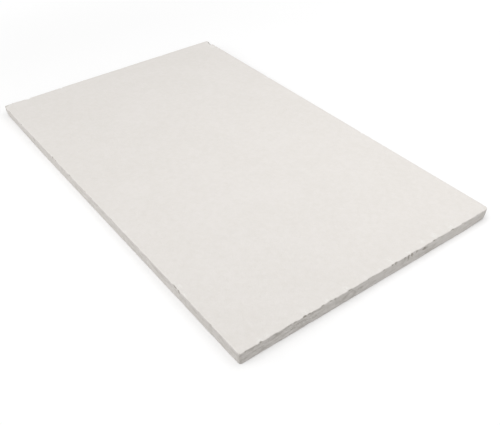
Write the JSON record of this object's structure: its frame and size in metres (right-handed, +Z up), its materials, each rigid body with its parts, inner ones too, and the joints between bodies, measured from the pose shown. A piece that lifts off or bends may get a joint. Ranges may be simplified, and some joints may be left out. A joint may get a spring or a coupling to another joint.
{
  "type": "ceramic fiber insulation board",
  "caption": "Flat rectangular sheet of off-white vacuum-formed ceramic fibre with sawn, slightly worn edges, used to line and insulate kilns, furnaces and ovens.",
  "frame": {"origin": "centre of the underside, the flat face that the board lies on", "axes": "+Z up through the thickness, +X along the length, +Y across the width"},
  "size_m": [1, 0.61, 0.025],
  "materials": {
    "ceramic_fibre": "matte"
  },
  "bodies": {
    "root": {"fibre_board": "ceramic_fibre"}
  },
  "joints": []
}
